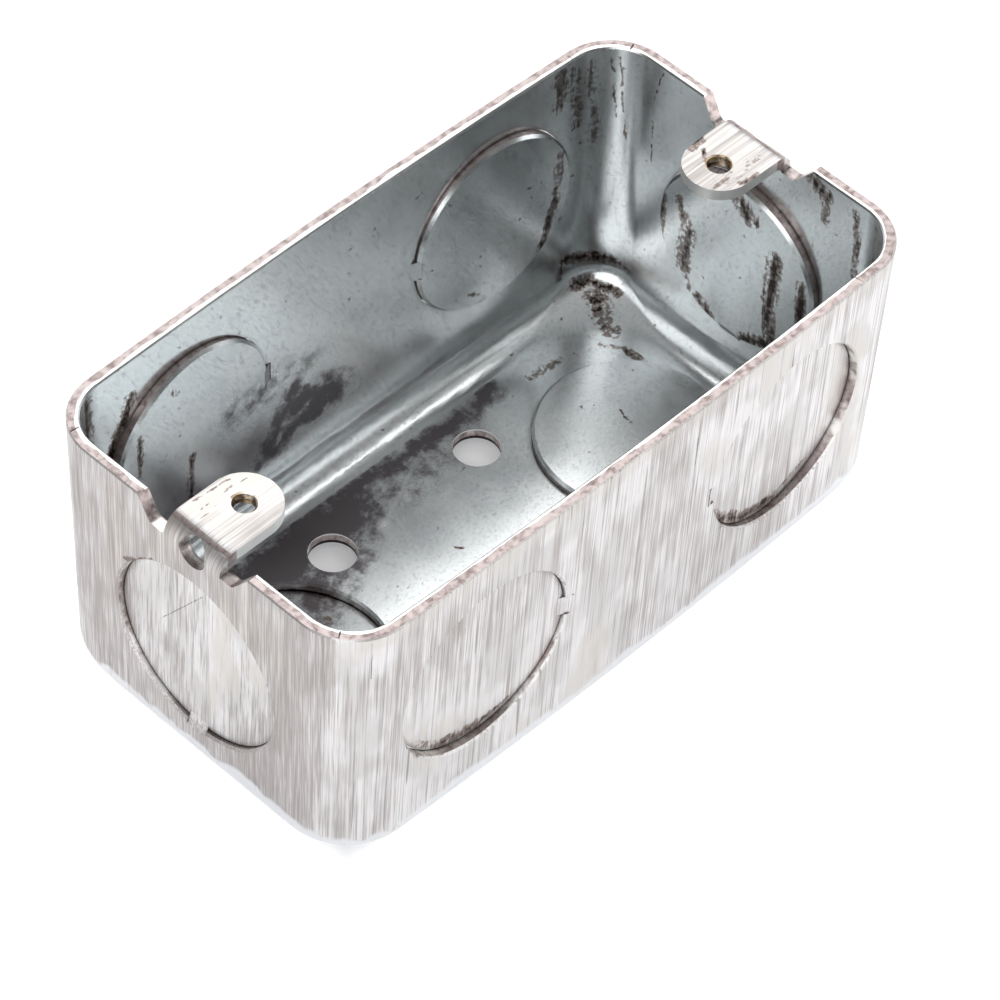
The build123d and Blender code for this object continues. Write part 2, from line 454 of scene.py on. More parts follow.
@dataclass(frozen=True)
class SheetSkin(Finish):
    """The inside, smooth zinc-coated sheet.

    Attributes:
        bright: The lighter zinc.
        tarnish_and_shade: The dulled zinc, also the dark colour of painted shade.
        polish: Zinc that is scrubbed bright.
        nick_and_glint: The bare metal of scratches, also the colour of a painted highlight on the floor.
        scrub_turn: How the scrubbing lies, as turns about x, y and z in radians.
    """

    bright: Colour = (0.84, 0.865, 0.87)
    tarnish_and_shade: Colour = (0.12, 0.10, 0.11)
    polish: Colour = (0.95, 0.96, 0.97)
    nick_and_glint: Colour = (0.97, 0.97, 0.97)
    scrub_turn: tuple[float, float, float] = (0.0, math.radians(-36.0), math.radians(25.0))

    def material(
        self, part: str, strokes: Sequence[Stroke], dulls_and_shade: Sequence[Stroke], nicks_and_glints: Sequence[Stroke]
    ) -> bpy.types.Material:
        """Builds the finish for one part of the inside.

        Args:
            part: Which part.
            strokes: The black and brown dirt that lies in the box.
            dulls_and_shade: Where the zinc is dulled and grey, with painted shade there that stands for
                darker reflections.
            nicks_and_glints: Long thin scratches, and on the floor a painted highlight.

        Returns:
            The material.
        """
        material, graph, shader = self.start()
        material.name = f"{self.name}_{part}"
        spot = graph.coordinates()
        place = graph.attribute("grain")
        cloud = graph.noise(spot, (60.0, 60.0, 50.0), 3.0, 0.5)
        grain = graph.noise(spot, (1900.0, 1900.0, 1900.0), 3.0, 0.6)
        drag = graph.noise(place, (1700.0, 1700.0, 70.0), 3.0, 0.6)
        slant = graph.node("ShaderNodeMapping", vector_type="TEXTURE")
        slant.inputs["Rotation"].default_value = self.scrub_turn
        graph.feed(slant.inputs["Vector"], spot)
        scrub = graph.noise(slant.outputs["Vector"], (2300.0, 2300.0, 75.0), 3.0, 0.65)
        speck = graph.noise(spot, (1100.0, 1100.0, 1100.0), 2.0, 0.5)
        colour = graph.lay(rgba(self.base), rgba(self.bright), graph.span(cloud, 0.35, 0.65))
        colour = graph.lay(colour, rgba(self.stain), graph.span(drag, 0.6, 0.85, 0.0, 0.10))
        colour = graph.lay(colour, rgba(self.stain), graph.span(grain, 0.5, 0.8, 0.0, 0.10))
        colour = graph.lay(colour, rgba(self.stain), graph.span(scrub, 0.5, 0.72, 0.0, 0.22))
        colour = graph.lay(colour, rgba(self.polish), graph.span(scrub, 0.40, 0.28, 0.0, 0.35))
        dull_and_shade: object = 0.0
        # Dark mottled patches: partly dulled zinc, partly painted shade for darker reflections; kept short of
        # the floor bend
        if dulls_and_shade:
            mottle = graph.noise(spot, (420.0, 420.0, 420.0), 4.0, 0.7)
            soft = graph.warp(spot, 120.0, 2.0 * MM)
            dull_and_shade = graph.most(mark.mask(graph, soft) for mark in dulls_and_shade)
            _, deep, height = graph.split(spot)
            short_of_bend = graph.span(deep, 20.4 * MM, 19.9 * MM)
            over_bend = graph.span(height, 6.0 * MM, 9.0 * MM)
            dull_and_shade = graph.calc("MULTIPLY", dull_and_shade, graph.most((short_of_bend, over_bend)))
            tooth = graph.calc("SUBTRACT", mottle, 0.5)
            tooth = graph.calc("MULTIPLY", tooth, graph.span(dull_and_shade, 0.0, 0.3, 0.0, 1.6))
            dull_and_shade = graph.span(graph.calc("ADD", tooth, dull_and_shade), 0.0, 0.6, 0.0, 0.93)
            colour = graph.lay(colour, rgba(self.tarnish_and_shade), dull_and_shade)
        colour = graph.lay(colour, rgba(self.smear), graph.span(speck, 0.70, 0.76, 0.0, 0.8))
        # Painted shade: the grease colour laid where the surface is shut in, in crevices and tight corners
        tight = graph.span(graph.crevice(0.8 * MM), 0.5, 0.85, 0.0, 0.9)
        colour = graph.lay(colour, rgba(self.grease_and_shade), tight)
        if strokes:
            colour = self.smears(graph, spot, place, strokes, colour)
        # Scratches, and on the floor a painted highlight, laid in near-white
        if nicks_and_glints:
            shaken = graph.warp(spot, 500.0, 0.06 * MM)
            scratch_and_glint = graph.most(mark.mask(graph, shaken) for mark in nicks_and_glints)
            colour = graph.lay(colour, rgba(self.nick_and_glint), graph.span(scratch_and_glint, 0.1, 0.7))
        graph.feed(shader.inputs["Base Color"], colour)
        rough = graph.span(cloud, 0.25, 0.75, self.gloss - 0.04, self.gloss + 0.05)
        graph.feed(shader.inputs["Roughness"], graph.calc("MULTIPLY_ADD", dull_and_shade, 0.15, rough))
        wave = graph.noise(spot, (85.0, 85.0, 85.0), 1.0, 0.4)
        self.emboss(graph, shader, wave, 0.11, 0.6)
        return material


@dataclass(frozen=True)
class ShearedEdge(Finish):
    """A sheared edge of the sheet: burnished where the punch went in, brown where it tore.

    Attributes:
        bright: The burnished metal.
        lip_highlight: A painted highlight along the top of a floor hole's edge.
        split: How deep the torn band round the rim is, in millimetres.
    """

    bright: Colour = (0.96, 0.95, 0.93)
    lip_highlight: Colour = (0.98, 0.98, 0.98)
    split: float = 1.0

    def material(self, round_rim: bool) -> bpy.types.Material:
        """Builds the finish.

        Args:
            round_rim: Whether it runs round the rim, torn on the side of the box's outside.

        Returns:
            The material.
        """
        material, graph, shader = self.start()
        spot = graph.coordinates()
        grit = graph.noise(spot, (1100.0, 1100.0, 1100.0), 4.0, 0.65)
        slow = graph.noise(spot, (190.0, 190.0, 190.0), 4.0, 0.65)
        depth, _, _ = graph.split(graph.attribute("depth"))
        ragged = graph.calc("MULTIPLY_ADD", graph.calc("SUBTRACT", slow, 0.5), 1.3 * MM, depth)
        torn = graph.lay(rgba(self.base), rgba(self.stain), graph.span(grit, 0.40, 0.70))
        if round_rim:
            _, deep, _ = graph.split(spot)
            ragged = graph.calc("SUBTRACT", ragged, graph.span(deep, 12.0 * MM, -12.0 * MM, 0.0, 0.2 * MM))
            inner = graph.span(ragged, (self.split - 0.05) * MM, (self.split + 0.05) * MM)
            colour = graph.lay(torn, rgba(self.bright), inner)
            seam = graph.calc("MULTIPLY", inner, graph.calc("SUBTRACT", 1.0, inner))
            colour = graph.lay(colour, rgba(self.stain), graph.calc("MULTIPLY", seam, 3.0))
            shaken = graph.warp(spot, 600.0, 0.12 * MM)
            crack = graph.most(mark.mask(graph, shaken) for mark in RIM_CRACKS)
            colour = graph.lay(colour, rgba(self.grease_and_shade), graph.span(crack, 0.1, 0.5))
        else:
            edge = graph.span(depth, 2.75 * MM, 2.95 * MM)
            worn = graph.calc("MULTIPLY", graph.span(slow, 0.45, 0.62), graph.span(depth, 1.6 * MM, 1.4 * MM))
            colour = graph.lay(torn, rgba(self.bright), graph.most((edge, worn)))
            _, _, height = graph.split(spot)
            in_floor = graph.span(height, 2.0 * MM, 1.85 * MM)
            # Painted highlight: a near-white band along the top of a floor hole's edge
            lip_highlight = graph.calc("MULTIPLY", in_floor, graph.span(height, 1.38 * MM, 1.55 * MM))
            # Painted shadow: a dark band with a wavy top along the bottom of a floor hole's edge, where the
            # shadow falls beneath
            wavy = graph.calc("MULTIPLY_ADD", slow, 0.6 * MM, height)
            foot = graph.calc("MULTIPLY", in_floor, graph.span(wavy, 0.85 * MM, 0.65 * MM))
            colour = graph.lay(colour, rgba(self.lip_highlight), lip_highlight)
            colour = graph.lay(colour, rgba(self.grease_and_shade), foot)
        # Painted shade: the grease colour laid where the edge is shut in, in crevices and tight corners
        tight = graph.span(graph.crevice(0.6 * MM), 0.6, 0.95)
        colour = graph.lay(colour, rgba(self.grease_and_shade), tight)
        graph.feed(shader.inputs["Base Color"], colour)
        graph.feed(shader.inputs["Roughness"], graph.span(grit, 0.3, 0.7, self.gloss, self.gloss + 0.15))
        self.emboss(graph, shader, grit, 0.04, 0.4)
        return material


# Dirt and scratches, and patches of painted shade and painted highlight, picked on the photograph, as places
# on the box in millimetres. Most places were worked out from the picked points and rounded, and some were
# then moved. Widths and depths were chosen one by one.

# Black and brown grease on the far end wall, under and beside the ear
END_WALL_GREASE = (
    Stroke((47.0, 0.6, 34.6), (47.0, -1.6, 32.4), 1.3, 0.9),
    Stroke((47.0, -1.6, 32.4), (47.0, -2.6, 32.2), 0.8, 0.9),
    Stroke((47.1, -6.7, 28.3), (47.1, -6.4, 20.0), 1.0),
    Stroke((47.1, -6.4, 20.0), (47.2, -7.2, 13.1), 0.9),
    Stroke((47.2, -7.2, 12.4), (47.3, -2.8, 10.1), 0.8),
    Stroke((47.1, -11.4, 26.7), (47.1, -11.8, 20.3), 0.75),
    Stroke((47.1, 10.2, 26.8), (47.1, 8.2, 22.4), 0.8, 0.65),
    Stroke((47.1, 8.2, 22.4), (47.2, 8.8, 15.5), 1.1, 0.75),
    Stroke((47.2, 8.8, 15.5), (47.2, 7.4, 12.3), 0.6, 0.5),
    Stroke((47.1, 12.9, 25.6), (47.2, 13.0, 18.2), 0.7, 0.5),
    Stroke((47.3, 5.4, 11.8), (47.3, 3.3, 10.0), 0.8, 0.75),
    Stroke((48.7, -9.9, 43.9), (48.7, -12.3, 42.9), 1.0, 0.85),
    Stroke((48.7, -12.3, 42.9), (48.6, -12.7, 38.6), 0.6, 0.65),
    Stroke((48.5, -17.4, 43.6), (48.4, -18.9, 30.5), 0.55, 0.7),
    Stroke((47.8, -21.0, 43.8), (47.6, -21.4, 33.0), 0.5, 0.45),
    Stroke((48.7, 16.2, 44.2), (48.6, 17.4, 38.8), 0.12, 0.8),
    Stroke((48.6, 17.4, 38.8), (48.4, 16.7, 28.4), 0.12, 0.8),
)
# Scored and scraped dirt in the far corner, from the rim to the floor bend
CORNER_GREASE = (
    Stroke((39.3, 25.5, 41.6), (38.7, 25.4, 38.0), 1.0, 0.42),
    Stroke((44.2, 24.9, 42.6), (45.3, 24.0, 29.7), 1.2, 0.27),
    Stroke((42.4, 25.2, 42.0), (42.7, 25.1, 36.5), 0.9, 0.3),
    Stroke((47.3, 22.6, 43.6), (47.8, 21.0, 29.9), 0.16, 0.75),
    Stroke((46.7, 23.4, 43.6), (47.2, 22.3, 32.9), 0.16, 0.75),
    Stroke((42.0, 24.7, 8.2), (44.9, 23.6, 7.7), 0.75),
    Stroke((44.9, 23.6, 7.7), (47.3, 20.8, 7.3), 0.7, 0.9),
    Stroke((47.0, 21.6, 7.5), (47.8, 18.6, 6.6), 0.35, 0.8),
    Stroke((42.7, 23.3, 4.0), (44.6, 22.3, 4.2), 0.7, 0.85),
    Stroke((44.6, 22.3, 4.2), (46.1, 18.4, 3.4), 0.55, 0.85),
    Stroke((43.8, 20.4, 3.1), (42.2, 17.4, 2.1), 1.3, 0.75),
    Stroke((42.0, 17.4, 1.9), (41.6, 15.2, 1.9), 1.0, 0.7),
    Stroke((41.2, 25.0, 8.2), (41.0, 24.9, 5.2), 0.5, 0.5),
)
# Grease on the far long wall and its two knockouts, and along the foot of its bend
LONG_WALL_GREASE = (
    Stroke((38.2, 23.8, 31.0), (37.8, 23.7, 23.0), 0.75, 0.6),
    Stroke((37.8, 23.7, 23.5), (35.6, 23.6, 15.6), 0.65, 0.85),
    Stroke((-36.7, 25.5, 38.7), (-40.0, 25.3, 31.4), 0.8, 0.85),
    Stroke((-40.0, 25.3, 31.4), (-40.4, 25.2, 25.0), 0.6, 0.7),
    Stroke((-36.5, 23.9, 32.5), (-36.6, 23.8, 25.6), 0.45, 0.7),
    Stroke((-27.6, 24.2, 22.0), (-27.9, 24.2, 13.0), 0.55, 0.85),
    Stroke((22.6, 24.3, 15.4), (24.4, 24.4, 14.2), 0.5, 0.5),
    Stroke((-30.4, 24.3, 36.4), (-29.9, 24.3, 35.6), 0.5, 0.4),
    Stroke((-44.0, 25.0, 43.5), (-44.2, 24.8, 31.0), 1.1, 0.5),
    Stroke((-11.9, 22.8, 2.2), (-0.5, 22.7, 2.1), 0.5, 0.62),
    Stroke((-0.5, 22.7, 2.1), (13.4, 22.2, 1.9), 0.35, 0.42),
    Stroke((39.1, 25.4, 43.4), (39.6, 25.4, 38.6), 1.1, 0.62),
    Stroke((42.0, 25.2, 43.0), (42.6, 25.2, 33.0), 1.0, 0.42),
)
# Specks, short strokes and smears on the floor
FLOOR_GREASE = (
    Stroke((20.1, 1.1, 1.7), (19.9, -1.9, 1.7), 0.25, 0.7),
    Stroke((31.1, 3.9, 2.9), (30.6, 1.6, 2.9), 0.18, 0.8),
    Stroke((27.6, 16.9, 1.7), (32.6, 16.2, 1.7), 0.6, 0.5),
    Stroke((40.7, 11.6, 1.7), (40.6, 7.6, 1.9), 0.5, 0.7),
    Stroke((38.8, 14.7, 1.7), (40.7, 11.6, 1.7), 0.35, 0.5),
    Stroke((-21.0, 6.4, 0.6), (-20.4, 5.2, 0.6), 0.28, 0.8),
    Stroke((-0.9, 2.5, 1.7), (-0.4, 2.0, 1.7), 0.2, 0.8),
)
# Where the zinc is dulled, with painted shade standing for darker reflections: the floor beside the far wall,
# and the foot of that wall above it
DULL_AND_SHADED_FLOOR = (
    Stroke((-30.0, 15.5, 1.7), (-8.0, 16.5, 1.7), 4.4, 0.95),
    Stroke((-22.0, 8.0, 1.7), (-12.0, 12.0, 1.7), 3.4, 0.62),
    Stroke((-8.0, 18.2, 1.7), (22.0, 18.6, 1.7), 1.5, 0.72),
    Stroke((-8.0, 14.0, 1.7), (14.0, 15.5, 1.7), 3.2, 0.32),
)
DULL_AND_SHADED_WALL = (
    Stroke((-14.0, 25.4, 10.4), (0.0, 25.5, 13.4), 2.0, 0.62),
    Stroke((-8.4, 25.5, 17.0), (-1.0, 25.5, 13.6), 2.6, 0.75),
    Stroke((-13.0, 25.5, 12.0), (-8.0, 25.5, 18.5), 2.2, 0.7),
    Stroke((-20.0, 25.5, 24.0), (-6.0, 25.5, 22.0), 3.4, 0.3),
)
# Long thin scratches on the far long wall
WALL_SCRATCHES = (
    Stroke((-17.7, 25.8, 38.5), (-27.4, 24.4, 28.6), 0.06, 0.8),
    Stroke((-27.4, 24.3, 28.6), (-35.1, 23.8, 23.1), 0.06, 0.8),
)
# Painted highlight on the floor: a bright spot where a dimple catches the light, and a bright streak running
# from it
FLOOR_DIMPLE_HIGHLIGHT = (
    Stroke((-4.9, 11.8, 1.7), (4.4, 16.1, 1.7), 0.45, 0.35),
    Stroke((-5.2, 11.6, 1.7), (-4.6, 12.0, 1.7), 1.1, 0.5),
)
# Brown dirt packed along the feet of the near wall's knockouts, and marks on the near end and the ears' tops
NEAR_WALL_GREASE = (
    Stroke((-40.0, -26.3, 21.0), (-38.0, -26.3, 17.9), 0.45, 0.6),
    Stroke((-38.0, -26.3, 17.9), (-33.0, -26.1, 14.1), 0.75, 0.9),
    Stroke((-33.0, -26.1, 14.1), (-27.0, -26.0, 12.8), 0.8, 0.85),
    Stroke((-27.0, -26.0, 12.8), (-19.5, -25.8, 14.4), 0.35, 0.6),
    Stroke((14.4, -26.3, 20.8), (16.2, -26.3, 17.9), 0.5, 0.7),
    Stroke((16.2, -26.3, 17.9), (21.2, -26.1, 14.1), 0.85, 0.9),
    Stroke((21.2, -26.1, 14.1), (27.2, -26.0, 12.8), 0.7, 0.85),
    Stroke((27.2, -26.0, 12.8), (36.0, -26.0, 15.8), 0.45, 0.6),
    Stroke((-50.0, 11.8, 31.0), (-50.0, 7.0, 34.6), 0.4, 0.7),
    Stroke((43.3, 4.6, 44.4), (41.0, 4.2, 44.4), 0.45, 0.75),
    Stroke((42.0, 3.0, 44.4), (40.6, 1.6, 44.4), 0.3, 0.5),
    Stroke((44.0, -4.6, 44.4), (41.2, -4.3, 44.4), 0.4, 0.6),
    Stroke((46.0, -2.6, 44.4), (38.5, -2.2, 44.4), 1.0, 0.36),
    Stroke((-46.2, 2.9, 44.4), (-38.6, 2.7, 44.4), 0.14, 0.55),
    Stroke((-47.0, 1.9, 44.3), (-41.0, 1.7, 44.4), 0.12, 0.5),
    Stroke((-46.0, 4.2, 44.4), (-40.4, 4.0, 44.4), 0.18, 0.45),
)
# Short cracks across the rim, where the sheet was stretched most
RIM_CRACKS = (
    Stroke((-50.4, 22.1, 45.1), (-48.3, 21.9, 45.2), 0.08),
    Stroke((41.2, 28.0, 45.1), (41.3, 25.4, 45.2), 0.06, 0.8),
    Stroke((49.1, 22.0, 45.2), (47.6, 21.6, 45.2), 0.08),
    Stroke((39.0, -27.8, 45.1), (38.7, -25.6, 45.2), 0.06, 0.8),
    Stroke((-49.3, -23.6, 45.1), (-47.9, -22.6, 45.2), 0.08, 0.9),
)
# Single dark hairlines scored up the near walls
HAIRLINES = (
    Stroke((-46.0, -26.0, 44.4), (-45.9, -25.9, 37.8), 0.07, 0.85),
    Stroke((-48.8, 6.9, 23.0), (-48.7, -0.2, 32.9), 0.05, 0.8),
    Stroke((-30.0, -26.0, 34.0), (-29.4, -25.8, 15.0), 0.07, 0.5),
    Stroke((8.4, -27.6, 40.0), (8.6, -27.2, 22.0), 0.12, 0.7),
    Stroke((35.0, -27.0, 44.0), (35.1, -26.6, 26.0), 0.12, 0.7),
)


@dataclass
class BoxShell:
    """The drawn body, in one piece with its ears and knockout discs. Sizes are in millimetres.

    Attributes:
        length: Over the outside at the rim.
        width: The same, across the middle of the bowed long walls.
        height: From the floor's underside to the rim.
        corner: Radius of the plan corners.
        floor_bend: Radius of the bend between floor and walls.
        draft: How much the walls lean out, in radians.
        fold_height: Middle of the ears' folds.
        fold_radius: Outside of the folds.
        fold_reach: From the middle of the box to the middle of each fold.
        fold_margin: How far below its middle a fold is counted from.
        ear_half_width: Half of an ear, and a little over.
        crease: Angle between faces, in radians, from which an edge is sharp.
        side_bow: How far the long walls stand out in the middle.
        ear_drop: From the rim down to the ears' tops.
        ear_reach: Just short of the ears' ends, from the middle of the box.
        ear_side: How squarely an ear's face looks sideways to be its cut edge.
        floor_zone: Height up to which a point over the floor is in its sheet.
        floor_top: Height up to which the inside counts as the floor.
        wall_margin: How far in past the corners' start the far long wall's skin reaches.
        facing: How squarely a face looks out or in to be the outside or the inside.
        top_band: How far below the ear's top a face still belongs to it.
        rim_band: The same for the rim.
        weld: Points nearer than this become one.
        sliver: Edges shorter than this are taken out.
    """

    length: float = 100.8
    width: float = 55.6
    height: float = 45.2
    corner: float = 8.5
    floor_bend: float = 6.3
    draft: float = math.radians(1.05)
    fold_height: float = 41.6
    fold_radius: float = 2.8
    fold_reach: float = 47.5
    fold_margin: float = 0.4
    ear_half_width: float = 5.2
    crease: float = math.radians(28.0)
    side_bow: float = 0.7
    ear_drop: float = 0.8
    ear_reach: float = 36.0
    ear_side: float = 0.6
    floor_zone: float = 4.0
    floor_top: float = 5.0
    wall_margin: float = 5.0
    facing: float = 0.55
    top_band: float = 0.1
    rim_band: float = 0.5
    weld: float = 0.002
    sliver: float = 0.001

    def outward(self, point: Vector) -> Vector:
        """The way out through the sheet at a point of the shell.

        Args:
            point: A point, in metres.

        Returns:
            A unit vector.
        """
        reach_x = (self.length / 2 - self.corner) * MM
        reach_y = (self.width / 2 - self.corner) * MM
        core = Vector((
            max(-reach_x, min(reach_x, point.x)),
            max(-reach_y, min(reach_y, point.y)),
            max(self.corner * MM, point.z),
        ))
        way = point - core
        return way.normalized() if way.length > 1e-9 else Vector((0.0, 0.0, -1.0))

    def on_ear(self, point: Vector) -> bool:
        """Whether a point is on an ear or its fold."""
        return (
            point.z > (self.fold_height - self.fold_margin) * MM
            and abs(point.y) < self.ear_half_width * MM
            and abs(point.x) > self.ear_reach * MM
        )

    def grain(self, point: Vector) -> Vector:
        """Where a point lay on the sheet along the draw, with walls stood upright and ears unfolded.

        Args:
            point: A point of the shell, in metres.

        Returns:
            Its place, in metres, with z along the draw.
        """
        lean = (self.height * MM - point.z) * math.tan(self.draft)
        way = self.outward(point)
        spot = point + Vector((way.x, way.y, 0.0)) * lean
        if self.on_ear(point):
            side = math.copysign(1.0, point.x)
            inward = self.fold_reach * MM - side * point.x
            rise = point.z - self.fold_height * MM
            if inward > 0:
                run = self.fold_radius * MM * math.pi / 2 + inward
            else:
                run = self.fold_radius * MM * math.atan2(rise, -inward)
            spot = Vector((side * self.length / 2 * MM, point.y, self.fold_height * MM + run))
        return spot

    def depth(self, point: Vector) -> float:
        """How far a point of a wall lies under the outside of the sheet.

        Args:
            point: A point of the shell, in metres.

        Returns:
            The depth, in metres.
        """
        straight_x = self.length / 2 - self.corner
        straight_y = self.width / 2 - self.side_bow - self.corner
        x, y = abs(point.x) / MM, abs(point.y) / MM
        over_floor = x < self.length / 2 - self.floor_bend and y < self.width / 2 - self.floor_bend
        if over_floor and point.z < self.floor_zone * MM:
            return point.z
        if x > straight_x and y > straight_y:
            gap = self.corner - math.hypot(x - straight_x, y - straight_y)
        elif y > straight_y:
            gap = self.width / 2 - self.side_bow * (x / straight_x) ** 2 - y
        else:
            gap = self.length / 2 - x
        return gap * MM - (self.height * MM - point.z) * math.tan(self.draft)

    def inner_skin(self, point: Vector) -> Skin:
        """Which part of the inside a point lies on.

        Args:
            point: A point of the inner surface, in metres.

        Returns:
            Its skin.
        """
        beyond_x = point.x - (self.length / 2 - self.corner) * MM
        beyond_y = point.y - (self.width / 2 - self.corner) * MM
        if point.z < self.floor_top * MM:
            return Skin.FLOOR
        if beyond_x > 0 and beyond_x > beyond_y:
            return Skin.END_WALL
        if beyond_y > -self.wall_margin * MM:
            return Skin.LONG_WALL
        return Skin.NEAR_WALLS

    def skin(self, face: bmesh.types.BMFace) -> Skin:
        """Which surface a face belongs to.

        Args:
            face: A face of the shell.

        Returns:
            Its skin.
        """
        middle = face.calc_center_median()
        if self.on_ear(middle):
            if abs(face.normal.y) > self.ear_side:
                return Skin.CUT
            if middle.z > (self.height - self.ear_drop - self.top_band) * MM:
                return Skin.OUTSIDE
        facing = face.normal.dot(self.outward(middle))
        if facing > self.facing:
            return Skin.OUTSIDE
        if facing < -self.facing:
            return self.inner_skin(middle)
        if middle.z > (self.height - self.rim_band) * MM:
            return Skin.RIM
        return Skin.CUT

    def build(self, finishes: dict[Skin, bpy.types.Material]) -> bpy.types.Object:
        """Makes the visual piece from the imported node.

        Args:
            finishes: The material of each skin.

        Returns:
            The piece.
        """
        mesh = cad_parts[NODE].data.copy()
        mesh.name = "drawn_box"
        mesh.materials.clear()
        for kind in Skin:
            mesh.materials.append(finishes[kind])
        shape = bmesh.new()
        shape.from_mesh(mesh)
        bmesh.ops.remove_doubles(shape, verts=shape.verts, dist=self.weld * MM)
        bmesh.ops.dissolve_degenerate(shape, edges=shape.edges, dist=self.sliver * MM)
        bmesh.ops.recalc_face_normals(shape, faces=shape.faces)
        for face in shape.faces:
            face.smooth = True
            face.material_index = self.skin(face).value
        for edge in shape.edges:
            edge.smooth = edge.is_manifold and edge.calc_face_angle(0.0) < self.crease
        place = shape.verts.layers.float_vector.new("grain")
        under = shape.verts.layers.float_vector.new("depth")
        for vertex in shape.verts:
            vertex[place] = self.grain(vertex.co)
            vertex[under] = Vector((self.depth(vertex.co), 0.0, 0.0))
        shape.to_mesh(mesh)
        shape.free()
        piece = bpy.data.objects.new("drawn_box", mesh)
        bpy.context.scene.collection.objects.link(piece)
        weigh = piece.modifiers.new("even_shading", "WEIGHTED_NORMAL")
        weigh.keep_sharp = True
        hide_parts(NODE)
        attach(piece, BODY)
        return piece


@dataclass
class EarThread:
    """The screw thread cut in one ear. Sizes are in millimetres.

    Attributes:
        name: The piece's name.
        centre_x: Where its axis stands along the box.
        top: Height of the ear's upper face.
        sheet: How thick the ear is.
        root: Radius at the bottom of the thread.
        crest: Radius at its crest.
        pitch: From one turn to the next.
        flank: Height of each flank, in pitches.
        start_below: How far under the ear the first turn starts, in pitches.
        spare_turns: Turns more than fit in the ear, which are cut away.
        end_gap: How far the thread stays inside the ear's faces.
        steps_per_turn: Facets to a turn.
    """

    name: str
    centre_x: float
    top: float = 44.4
    sheet: float = 1.7
    root: float = 1.80
    crest: float = 1.42
    pitch: float = 0.794
    flank: float = 0.47
    start_below: float = 1.5
    spare_turns: int = 2
    end_gap: float = 0.02
    steps_per_turn: int = 40

    def build(self, finish: bpy.types.Material) -> bpy.types.Object:
        """Cuts the thread.

        Args:
            finish: Its material.

        Returns:
            The piece.
        """
        turns = math.ceil(self.sheet / self.pitch) + self.spare_turns
        foot = self.top - self.sheet - self.start_below * self.pitch
        flank = self.pitch * self.flank
        shape = bmesh.new()
        ring = [
            shape.verts.new(Vector((self.centre_x + radius, 0.0, foot + rise)) * MM)
            for radius, rise in ((self.root, 0.0), (self.root, 2 * flank), (self.crest, flank))
        ]
        shape.faces.new(ring)
        bmesh.ops.spin(
            shape,
            geom=[*shape.verts, *shape.edges, *shape.faces],
            cent=Vector((self.centre_x, 0.0, 0.0)) * MM,
            axis=(0.0, 0.0, 1.0),
            dvec=Vector((0.0, 0.0, self.pitch / self.steps_per_turn)) * MM,
            angle=turns * 2 * math.pi,
            steps=turns * self.steps_per_turn,
        )
        for level, up in ((self.top - self.end_gap, 1.0), (self.top - self.sheet + self.end_gap, -1.0)):
            cut = bmesh.ops.bisect_plane(
                shape,
                geom=[*shape.verts, *shape.edges, *shape.faces],
                plane_co=Vector((0.0, 0.0, level)) * MM,
                plane_no=(0.0, 0.0, up),
                clear_outer=True,
            )
            rims = [item for item in cut["geom_cut"] if isinstance(item, bmesh.types.BMEdge)]
            bmesh.ops.holes_fill(shape, edges=rims)
        bmesh.ops.recalc_face_normals(shape, faces=shape.faces)
        mesh = bpy.data.meshes.new(self.name)
        shape.to_mesh(mesh)
        shape.free()
        mesh.materials.append(finish)
        piece = bpy.data.objects.new(self.name, mesh)
        bpy.context.scene.collection.objects.link(piece)
        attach(piece, BODY)
        return piece


